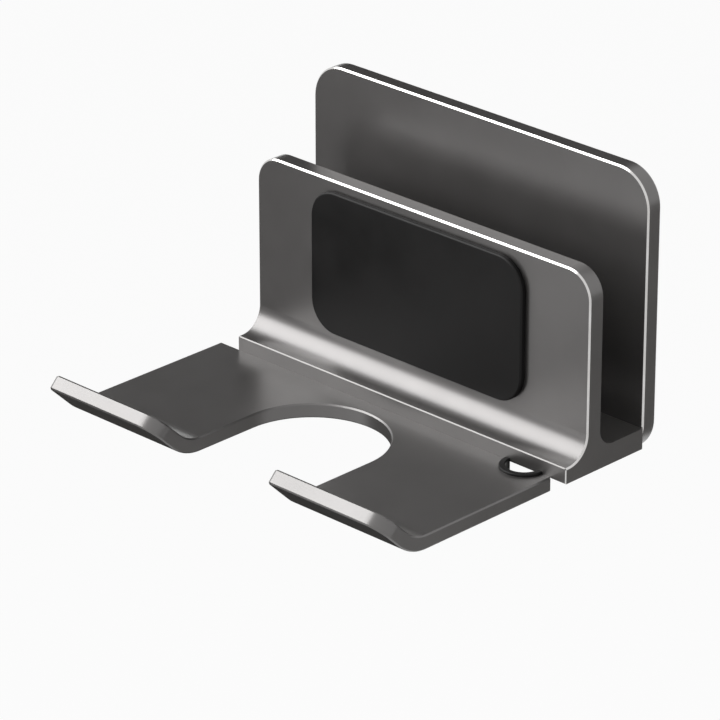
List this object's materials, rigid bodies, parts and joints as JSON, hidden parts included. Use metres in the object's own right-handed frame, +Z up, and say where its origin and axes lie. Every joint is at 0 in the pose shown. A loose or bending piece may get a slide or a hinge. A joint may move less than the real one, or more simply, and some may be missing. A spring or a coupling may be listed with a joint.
{
  "type": "hair dryer holder",
  "caption": "Wall-mounted metal hair dryer holder: rounded wall plate, padded upright with a cord channel behind it, and a forked shelf with raised lips and a plug notch.",
  "frame": {"origin": "centre of the wall-screw pattern on the wall plate's back face, where the holder meets the wall", "axes": "+X right along the wall seen from the front, +Y into the wall, +Z up"},
  "size_m": [0.1482, 0.1143, 0.0949],
  "materials": {
    "gunmetal_anodised": "satin anodised with polished edges",
    "zinc_steel": "zinc plated",
    "black_steel": "black oxide",
    "stainless_steel": "satin",
    "black_silicone": "matte",
    "adhesive_tape": "matte"
  },
  "bodies": {
    "root": {"wall_plate": "gunmetal_anodised", "wall_cleat": "zinc_steel", "cleat_grub_screws": "black_steel", "hanger_bracket": "gunmetal_anodised", "bracket_screws": "stainless_steel", "fork_plate": "gunmetal_anodised", "fork_screws": "stainless_steel", "notch_liner": "black_silicone", "back_pad": "black_silicone", "back_pad_tape": "adhesive_tape"}
  },
  "joints": []
}
